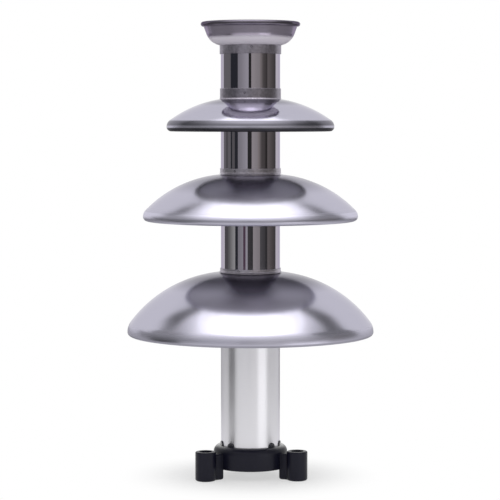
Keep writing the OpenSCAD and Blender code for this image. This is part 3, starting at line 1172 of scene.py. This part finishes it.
@dataclass
class Auger:
    """The screw that lifts the chocolate, with the socket that drives it."""

    shaft: str = "auger_shaft"
    flight: str = "auger_flight"
    nose: str = "auger_nose"
    socket: str = "drive_socket"
    pin: str = "drive_pin"
    washer: str = "thrust_washer"
    pitch: float = 48 * MM
    thickness: float = 2.4 * MM
    fillet: float = 1.2 * MM
    steps_per_turn: int = 72
    edge_steps: int = 8
    fillet_steps: int = 4

    def build(self) -> None:
        """Makes the flight and dresses the rest."""
        settle(self._ribbon(), self.flight, SCREW)
        for node in (self.shaft, self.nose):
            dress(node, SCREW)
        for node in (self.socket, self.pin):
            dress(node, TURNED)
        dress(self.washer, ACETAL)

    def _section(self) -> list[Point]:
        """Draws the ribbon's section: a round outer edge, and fillets of weld where it meets the shaft.

        Returns:
            The closed outline, with its heights from the ribbon's middle.
        """
        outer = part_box(self.flight)[1].x
        half = self.thickness / 2
        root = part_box(self.shaft)[1].x + self.fillet
        rise = half + self.fillet
        edge = arc((outer - half, 0.0), half, -90, 90, self.edge_steps)
        upper = arc((root, rise), self.fillet, 270, 180, self.fillet_steps)
        lower = arc((root, -rise), self.fillet, 180, 90, self.fillet_steps)
        return lower + edge + upper

    def _ribbon(self) -> bpy.types.Object:
        """Winds the section up the shaft.

        Returns:
            The linked object.
        """
        low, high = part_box(self.flight)
        section = self._section()
        start = low.z + self.thickness / 2
        rise = high.z - low.z - self.thickness
        count = math.ceil(rise / self.pitch * self.steps_per_turn)
        points = []
        for i in range(count + 1):
            climb = rise * i / count
            turn = 2 * math.pi * climb / self.pitch
            points += [around(radius, turn, start + climb + offset) for radius, offset in section]
        size = len(section)
        foot_end = tuple(range(size))
        top_end = tuple(reversed(range(count * size, (count + 1) * size)))
        return make_piece("auger_ribbon", points, [*loft(count + 1, size), foot_end, top_end])


# Studio and camera
def grey(level: float) -> Colour:
    """A colour without a tint."""
    return (level, level, level)


def upright_sheet(name: str, left: float, right: float, low: float, high: float,
                  radius: float) -> bpy.types.Object:
    """A curved upright sheet that faces the tower.

    Args:
        name: the object's name.
        left: azimuth of its left edge in degrees, with 0 towards the camera and + to the camera's right.
        right: azimuth of its right edge.
        low: height of its foot.
        high: height of its top.
        radius: distance from the tower's axis.

    Returns:
        The linked object.
    """
    steps = max(2, math.ceil((right - left) / SHEET_STEP_DEGREES))
    points = []
    for i in range(steps + 1):
        turn = math.radians(left - 90 + (right - left) * i / steps)
        points += [around(radius, turn, low), around(radius, turn, high)]
    return make_piece(name, points, [(2 * i, 2 * i + 2, 2 * i + 3, 2 * i + 1) for i in range(steps)])


@dataclass(frozen=True)
class Reflected(ABC):
    """A thing of the studio that is seen only in reflections."""

    name: str

    @abstractmethod
    def shape(self) -> bpy.types.Object:
        """Makes its mesh."""

    @abstractmethod
    def light(self, graph: Graph) -> bpy.types.Node:
        """Adds the nodes of its light and gives the shader that shows."""

    def build(self) -> None:
        """Makes it, seen only in reflections."""
        item = self.shape()
        material, graph = new_material(self.name)
        graph.show(self.light(graph))
        item.data.materials.append(material)
        for kind in ("camera", "diffuse", "shadow", "transmission", "volume_scatter"):
            setattr(item, f"visible_{kind}", False)


@dataclass(frozen=True)
class Panel(Reflected):
    """An upright panel that has one level, or changes evenly to another one at its right edge."""

    left: float
    right: float
    level: float
    right_level: float | None = None
    low: float = 0.10
    high: float = 0.50
    radius: float = 1.38
    tint: Colour = (1.0, 1.0, 1.0)

    def shape(self) -> bpy.types.Object:
        """Makes its mesh."""
        return upright_sheet(self.name, self.left, self.right, self.low, self.high, self.radius)

    def light(self, graph: Graph) -> bpy.types.Node:
        """Tints the panel from its left edge to its right one.

        Args:
            graph: the material's nodes.

        Returns:
            The shader that shows.
        """
        share = graph.azimuth().smooth(math.radians(self.left), math.radians(self.right))
        right_level = self.level if self.right_level is None else self.right_level
        colour = graph.mix(share, scaled(self.tint, self.level), scaled(self.tint, right_level))
        return graph.add("ShaderNodeEmission", inputs={"Color": colour})


@dataclass(frozen=True)
class Screen(Reflected):
    """The studio's camera side: dim at the level of the tower, bright above, and darkest at the sides."""

    name: str = "camera_side"
    half_width: float = 113.0
    low: float = 0.10
    high: float = 3.2
    radius: float = 1.4
    front_level: float = 0.5
    side_dip: float = 0.1
    top_gain: float = 1.0
    rise_from: float = 0.2
    rise_to: float = 2.0
    side_lift: float = 0.75
    side_from: float = 50.0
    side_to: float = 86.0
    turn: float = -4.0

    def shape(self) -> bpy.types.Object:
        """Makes its mesh."""
        return upright_sheet(self.name, -self.half_width, self.half_width, self.low, self.high, self.radius)

    def light(self, graph: Graph) -> bpy.types.Node:
        """Greys the screen by height and by the angle from the camera.

        Args:
            graph: the material's nodes.

        Returns:
            The shader that shows.
        """
        azimuth = graph.azimuth() - math.radians(self.turn)
        aside = abs(azimuth).smooth(math.radians(self.side_from), math.radians(self.side_to))
        rise = (graph.axes()[2] - aside * self.side_lift).smooth(self.rise_from, self.rise_to)
        level = self.front_level - aside * self.side_dip + rise * self.top_gain
        return graph.add("ShaderNodeEmission", inputs={"Color": level})


@dataclass(frozen=True)
class Cloth(Reflected):
    """A dark cloth laid round the white sheet that the tower stands on."""

    name: str = "cloth"
    inner: float = 0.44
    outer: float = 2.2
    soft: float = 0.10
    level: float = 0.28
    sheet_level: float = 0.95
    height: float = 1 * MM

    def shape(self) -> bpy.types.Object:
        """Makes its mesh.

        Returns:
            The linked object.
        """
        points = ring(self.inner, self.height) + ring(self.outer, self.height)
        faces = []
        for i in range(SEGMENTS):
            j = (i + 1) % SEGMENTS
            faces.append((i, SEGMENTS + i, SEGMENTS + j, j))
        return make_piece(self.name, points, faces)

    def light(self, graph: Graph) -> bpy.types.Node:
        """Fades from the white sheet to the cloth.

        Args:
            graph: the material's nodes.

        Returns:
            The shader that shows.
        """
        away = graph.reach().smooth(self.inner, self.inner + self.soft)
        colour = graph.mix(away, grey(self.sheet_level), grey(self.level))
        return graph.add("ShaderNodeEmission", inputs={"Color": colour})


@dataclass(frozen=True)
class SideFlag(Reflected):
    """A dark wedge of cloth held level beside the tower's top."""

    near: Point
    far: Point
    near_half: float = 0.006
    far_half: float = 0.165
    height: float = 0.47
    level: float = 0.15
    side_fade: float = 0.3
    end_fade: float = 0.55

    def shape(self) -> bpy.types.Object:
        """Makes its mesh.

        Returns:
            The linked object.
        """
        ends = ((self.near, -self.near_half), (self.far, -self.far_half),
                (self.far, self.far_half), (self.near, self.near_half))
        points = [(x, y + half, self.height) for (x, y), half in ends]
        return make_piece(self.name, points, [(0, 1, 2, 3)])

    def light(self, graph: Graph) -> bpy.types.Node:
        """Fades the dark grey out at the sides and towards the far end.

        Args:
            graph: the material's nodes.

        Returns:
            The shader that shows.
        """
        x, y, _ = graph.axes()
        start, length = abs(self.near[0]), abs(self.far[0] - self.near[0])
        along = (abs(x) - start) / length
        aside = y - self.near[1] - along * (self.far[1] - self.near[1])
        half = self.near_half + along * (self.far_half - self.near_half)
        over_side = (abs(aside) / half).smooth(self.side_fade, 1.0)
        cover = (1 - over_side) * (1 - along.smooth(self.end_fade, 1.0))
        clear = graph.add("ShaderNodeBsdfTransparent")
        dark = graph.add("ShaderNodeEmission", inputs={"Color": grey(self.level)})
        return graph.add("ShaderNodeMixShader", inputs={0: cover, 1: clear, 2: dark})


@dataclass
class Studio:
    """A white studio: pale floor, soft light from above, and dark panels for the polished steel to show."""

    floor_radius: float = 6.0
    floor_drop: float = 0.1 * MM
    floor_colour: Colour = grey(0.96)
    shadow_inner: float = 0.05
    shadow_outer: float = 0.14
    shadow_lift: float = 0.55
    sky_strength: float = 0.7
    lamp_size: float = 2.35
    lamp_height: float = 1.95
    lamp_forward: float = 0.40
    lamp_level: float = 0.6
    lamp_widths: tuple[float, ...] = (1.0, 0.75, 0.5)
    lamp_step: float = 10 * MM

    def build(self) -> None:
        """Sets the view, world, floor, lamp and the things that show in reflections."""
        bpy.context.scene.view_settings.view_transform = "Standard"
        self._world()
        self._floor()
        self._lamp()
        left_flag = SideFlag("left_flag", near=(-0.125, 0.004), far=(-0.47, 0.110))
        right_flag = SideFlag("right_flag", near=(0.125, -0.004), far=(0.48, 0.065))
        for item in (*self._panels(), Screen(), Cloth(), left_flag, right_flag):
            item.build()
        log.info("studio is set")

    @staticmethod
    def _seen_directly(graph: Graph) -> Signal:
        """Tells seeing from lighting.

        Args:
            graph: the nodes.

        Returns:
            1 for rays from the camera, from reflections and through glass.
        """
        path = graph.add("ShaderNodeLightPath")
        camera, glossy, through = (
            graph.value(path, f"Is {kind} Ray") for kind in ("Camera", "Glossy", "Transmission"))
        return graph.math("MAXIMUM", camera, graph.math("MAXIMUM", glossy, through))

    def _world(self) -> None:
        """Makes a world that is white where it is seen, and a plain level where it lights."""
        world = bpy.data.worlds.new("studio")
        bpy.context.scene.world = world
        world.use_nodes = True
        graph = Graph(world.node_tree)
        sky, white = (
            graph.add("ShaderNodeBackground", inputs={"Color": grey(1.0), "Strength": strength})
            for strength in (self.sky_strength, 1.0))
        mixed = graph.add("ShaderNodeMixShader", inputs={0: self._seen_directly(graph), 1: sky, 2: white})
        graph.show(mixed, "ShaderNodeOutputWorld")

    def _floor(self) -> None:
        """Makes a pale floor that keeps the tower's shadow and fades into the white."""
        floor = make_piece("floor", ring(self.floor_radius, -self.floor_drop), [tuple(range(SEGMENTS))])
        material, graph = new_material("floor")
        away = graph.reach().smooth(self.shadow_inner, self.shadow_outer)
        lifted = self.shadow_lift + away * (1 - self.shadow_lift)
        share = lifted * self._seen_directly(graph)
        matte = graph.add("ShaderNodeBsdfDiffuse", inputs={"Color": self.floor_colour})
        white = graph.add("ShaderNodeEmission", inputs={"Color": grey(1.0)})
        graph.show(graph.add("ShaderNodeMixShader", inputs={0: share, 1: matte, 2: white}))
        floor.data.materials.append(material)

    def _lamp(self) -> None:
        """Hangs a broad soft lamp overhead, in layers of several widths, so that it fades to its sides."""
        for number, share in enumerate(self.lamp_widths):
            name = f"overhead_{number + 1}"
            light = bpy.data.lights.new(name, "AREA")
            light.shape = "ELLIPSE"
            light.size = self.lamp_size * share
            light.size_y = self.lamp_size
            light.energy = self.lamp_level * math.pi * math.pi * light.size * light.size_y / 4
            lamp = bpy.data.objects.new(name, light)
            lamp.location = (0, -self.lamp_forward, self.lamp_height + self.lamp_step * number)
            lamp.visible_camera = False
            bpy.context.scene.collection.objects.link(lamp)

    @staticmethod
    def _panels() -> list[Panel]:
        """Lists the panels at the levels of the three polished risers and the low cards round the tube.

        Returns:
            The panels.
        """
        middle = {"low": 0.24, "high": 0.36, "radius": 1.37}
        lower = {"low": 0.10, "high": 0.24, "radius": 1.37}
        card = {"low": 0.001, "high": 0.155, "radius": 0.36}
        warm: dict[str, Colour] = {"tint": (1.0, 0.93, 0.87)}
        return [
            Panel("left_side", -128, -84, 0.24, 0.22),
            Panel("left_upright", -84, -51.5, 0.04, tint=(0.95, 1.05, 1.25)),
            Panel("front_left", -51.5, -9, 0.36, 0.56, tint=(1.0, 1.0, 1.05)),
            Panel("middle_upright", -9, 1, 0.04),
            Panel("front_right", 1, 34, 0.51, 0.41, tint=(1.0, 0.96, 0.93)),
            Panel("right_fall", 34, 52, 0.36, 0.12, **warm),
            Panel("right_upright", 52, 66, 0.12, 0.07, **warm),
            Panel("right_side", 66, 104, 0.20, 0.11, **warm),
            Panel("far_right_upright", 104, 109, 0.08),
            Panel("middle_left", -112, -98, 0.145, **middle),
            Panel("middle_glint", -77, -65, 0.17, **middle),
            Panel("middle_line", -13, 2.5, 0.04, **middle),
            Panel("middle_fall", 26, 44, 0.40, 0.12, **middle, **warm),
            Panel("middle_dim", 44, 57, 0.12, 0.10, **middle, **warm),
            Panel("middle_shadow", 57, 66, 0.045, **middle, **warm),
            Panel("lower_edge", -128, -121, 1.0, **lower),
            Panel("lower_left", -121, -99, 0.13, **lower),
            Panel("lower_glint", -99, -63, 0.18, 0.50, **lower, tint=(1.0, 1.04, 0.98)),
            Panel("lower_line", -30, -21, 0.12, **lower, tint=(1.15, 0.75, 1.05)),
            Panel("lower_upright", -13, 7.5, 0.09, 0.06, **lower),
            Panel("lower_shadow", 35, 57, 0.13, 0.09, **lower),
            Panel("lower_dark", 57, 66, 0.055, **lower),
            Panel("tall_right", 67, 113, 0.27, high=1.5, radius=1.39),
            Panel("low_left", -152, -92, 0.56, **card),
            Panel("low_dark", -92, -59, 0.01, **card),
            Panel("low_front", -59, 26, 0.78, 0.84, **card),
            Panel("low_bright", 26, 60, 1.52, **card),
            Panel("low_right", 60, 140, 0.68, **card),
        ]


@dataclass(frozen=True)
class PhotoCamera:
    """The camera that took the product shot, which is square."""

    frame_px: float = 500.0
    focal_px: float = 1995.6
    sensor: float = 36.0
    distance: float = 2.026
    target_height: float = 0.2312
    shift: float = -0.0009
    azimuth: float = -2.1
    elevation: float = 3.8

    def build(self) -> None:
        """Makes the scene's camera."""
        data = bpy.data.cameras.new("photo_camera")
        data.sensor_width = self.sensor
        data.lens = self.focal_px / self.frame_px * self.sensor
        data.shift_x = self.shift
        turn, rise = math.radians(self.azimuth), math.radians(self.elevation)
        away = Vector((math.sin(turn) * math.cos(rise), -math.cos(turn) * math.cos(rise), math.sin(rise)))
        camera = bpy.data.objects.new("photo_camera", data)
        camera.location = Vector((0, 0, self.target_height)) + away * self.distance
        camera.rotation_euler = (-away).to_track_quat("-Z", "Y").to_euler()
        bpy.context.scene.collection.objects.link(camera)
        bpy.context.scene.camera = camera


SECTIONS = [
    TierSection("large_tier", "large_collar", "lower_riser", "lower_coupling", LARGE_SHAPE, LARGE_SPUN,
                weld_azimuth=-25.0, collar_finish=PAINTED_LIGHT_COLLAR, undercut=1.0 * MM),
    TierSection("medium_tier", "medium_collar", "middle_riser", "middle_coupling", MEDIUM_SHAPE, MEDIUM_SPUN,
                weld_azimuth=-33.0, collar_finish=PAINTED_LIGHT_COLLAR, undercut=1.0 * MM),
    TierSection("small_tier", "small_collar", "upper_riser", "upper_coupling", SMALL_SHAPE, SMALL_SPUN,
                weld_azimuth=-13.0),
]


def main() -> None:
    """Builds the tower's sub-assemblies, the studio and the camera."""
    logging.basicConfig(level=logging.INFO, format="%(name)s: %(message)s")
    Stand().build()
    Auger().build()
    for section in SECTIONS:
        section.build()
    Crown().build()
    Studio().build()
    PhotoCamera().build()


if __name__ == "__main__":
    main()
